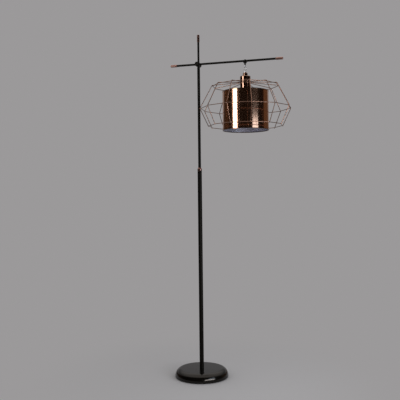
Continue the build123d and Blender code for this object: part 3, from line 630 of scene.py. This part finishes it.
class LAMP_OT_studio(bpy.types.Operator):
    """Lay the floor, light the lamp and place the camera"""

    bl_idname = "floor_lamp.studio"
    bl_label = "Studio"

    def execute(self, context):
        studio = context.scene.lamp_studio
        front = Vector((math.sin(studio.camera_turn), -math.cos(studio.camera_turn), 0))
        left = Vector((front.y, -front.x, 0))
        head = Vector((*head_centre(), 0))
        self.floor(studio)
        self.surroundings(context, studio, front, left)
        self.panel("left_panel", studio.left_glow, (head, front, left), turn=-56, away=1.2,
                   height=1.45, size=(0.44, 0.6), spread=50)
        self.panel("right_panel", studio.right_glow, (head, front, left), turn=43, away=2.0,
                   height=1.05, size=(1.02, 0.74), spread=170, colour=(0.86, 1.05, 1.28))
        self.panel("low_panel", studio.low_glow, (Vector(), front, left), turn=33, away=2.0,
                   height=0.52, size=(1.5, 0.2), spread=170)
        self.camera(context, studio, front)
        return {"FINISHED"}

    def floor(self, studio):
        """A floor that takes soft shadows near the lamp and glows evenly further out."""
        bm = bmesh.new()
        bmesh.ops.create_circle(bm, cap_ends=True, segments=64, radius=FLOOR_RADIUS,
                                matrix=Matrix.Translation((0, 0, -FLOOR_GAP)))
        mesh = bpy.data.meshes.new("floor")
        bm.to_mesh(mesh)
        bm.free()
        made = bpy.data.objects.new("floor", mesh)
        bpy.context.scene.collection.objects.link(made)
        f = Finish("floor")
        place = f.node("ShaderNodeTexCoord", out="Object")
        away = f.node("ShaderNodeVectorMath", {"operation": "LENGTH"}, {0: place}, out="Value")
        tone = (*studio.backdrop, 1)
        near = f.node("ShaderNodeBsdfDiffuse", {}, {"Color": tone})
        far = f.node("ShaderNodeEmission", {}, {"Color": tone})
        share = f.band(away, low=0.2, high=0.9)
        both = f.node("ShaderNodeMixShader", {}, {0: share, 1: near, 2: far})
        f.node_output(both)
        mesh.materials.append(f.material)

    def along(self, g, ray, way):
        """Cosine of the angle between a ray and a way."""
        return g.node("ShaderNodeVectorMath", {"operation": "DOT_PRODUCT"}, {0: ray, 1: way},
                      out="Value")

    def surroundings(self, context, studio, front, left):
        """The world: an even light, and in the metal the backdrop, wings, room and soft box."""
        world = bpy.data.worlds.new("studio")
        world.use_nodes = True
        context.scene.world = world
        g = Graph(world.node_tree)
        path = {name: g.node("ShaderNodeLightPath", out=f"Is {name} Ray")
                for name in ("Camera", "Glossy", "Transmission")}
        ray = g.node("ShaderNodeTexCoord", out="Generated")
        ahead = self.along(g, ray, front)
        aside = self.along(g, ray, left)
        above = self.along(g, ray, Vector((0, 0, 1)))
        wings = g.mix(g.band(aside, low=-0.3, high=0.3), studio.wings,
                      scaled(studio.wings, 0.45))
        seen = g.mix(g.band(ahead, low=-0.975, high=-0.93), studio.backdrop, wings)
        seen = g.mix(g.band(ahead, low=-0.2, high=-0.04), seen, studio.room)
        haze_turn, haze_strength = math.radians(44), 0.025
        toward = self.along(g, ray, front * math.cos(haze_turn) - left * math.sin(haze_turn))
        haze = g.band(toward, low=0.93, high=0.975) * haze_strength
        seen = g.mix(haze, seen, WHITE)
        sky = g.mix(g.band(above, low=0.262, high=0.3), studio.backdrop,
                    scaled(studio.backdrop, 0.6))
        sky = g.mix(g.band(above, low=0.3, high=0.9), sky, studio.overhead)
        seen = g.mix(g.band(above - 0.45 * ahead, low=0.46, high=0.52), seen, sky)
        seen = g.mix(path["Camera"], seen, studio.backdrop)
        direct = g.node("ShaderNodeMath", {"operation": "MAXIMUM"},
                        {0: path["Camera"] + path["Glossy"], 1: path["Transmission"]})
        shown = g.mix(direct, (studio.ambient,) * 3, seen)
        light = g.node("ShaderNodeBackground", {}, {"Color": shown, "Strength": 1.0})
        end = g.tree.nodes.new("ShaderNodeOutputWorld")
        g.tree.links.new(light.socket, end.inputs["Surface"])

    def panel(self, name, glow, around, turn, away, height, size, spread, colour=(1, 1, 1)):
        """A soft light panel at a turn from the camera's side of a place, facing that place."""
        middle, front, left = around
        turn = math.radians(turn)
        outward = front * math.cos(turn) - left * math.sin(turn)
        lamp = bpy.data.lights.new(name, "AREA")
        lamp.shape = "RECTANGLE"
        lamp.size, lamp.size_y = size
        lamp.spread = math.radians(spread)
        half = lamp.spread / 2
        let_out = 1 - half / math.tan(half)     # share of an open panel's light at this spread
        lamp.energy = glow * math.pi * lamp.size * lamp.size_y * let_out
        lamp.color = colour
        made = bpy.data.objects.new(name, lamp)
        bpy.context.scene.collection.objects.link(made)
        made.location = middle + outward * away + Vector((0, 0, height))
        made.rotation_mode = "QUATERNION"
        made.rotation_quaternion = (-outward).to_track_quat("-Z", "Y")
        made.visible_camera = False

    def camera(self, context, studio, front):
        made = bpy.data.objects.new("camera", bpy.data.cameras.new("camera"))
        context.scene.collection.objects.link(made)
        made.data.lens = studio.camera_lens
        made.data.sensor_width = SENSOR_WIDTH
        place = front * studio.camera_distance + Vector((0, 0, studio.camera_height))
        made.matrix_world = (Matrix.Translation(place)
                             @ Matrix.Rotation(studio.camera_turn, 4, "Z")
                             @ Matrix.Rotation(math.pi / 2 + studio.camera_tilt, 4, "X")
                             @ Matrix.Rotation(studio.camera_roll, 4, "Z"))
        context.scene.camera = made
        context.scene.view_settings.view_transform = "Standard"


class LAMP_PT_panel(bpy.types.Panel):
    """The lamp's settings and the operators that make it"""

    bl_idname = "LAMP_PT_panel"
    bl_label = "Floor Lamp"
    bl_space_type = "VIEW_3D"
    bl_region_type = "UI"
    bl_category = "Floor Lamp"

    def draw(self, context):
        for group in (context.scene.lamp_finishes, context.scene.lamp_details,
                      context.scene.lamp_studio):
            box = self.layout.box()
            for name in group.__annotations__:
                box.prop(group, name)
        for operator in OPERATORS:
            self.layout.operator(operator.bl_idname)


GROUPS = {"lamp_finishes": LampFinishes, "lamp_details": LampDetails, "lamp_studio": LampStudio}
OPERATORS = (LAMP_OT_base, LAMP_OT_pole, LAMP_OT_clamp, LAMP_OT_arm, LAMP_OT_links,
             LAMP_OT_holder, LAMP_OT_shade, LAMP_OT_bulb, LAMP_OT_cage, LAMP_OT_studio)


def register():
    for each in (*GROUPS.values(), *OPERATORS, LAMP_PT_panel):
        bpy.utils.register_class(each)
    for name, group in GROUPS.items():
        setattr(bpy.types.Scene, name, PointerProperty(type=group))


def unregister():
    for name in GROUPS:
        delattr(bpy.types.Scene, name)
    for each in reversed((*GROUPS.values(), *OPERATORS, LAMP_PT_panel)):
        bpy.utils.unregister_class(each)


def main():
    register()
    for operator in OPERATORS:
        area, name = operator.bl_idname.split(".")
        getattr(getattr(bpy.ops, area), name)()


if __name__ == "__main__":
    main()
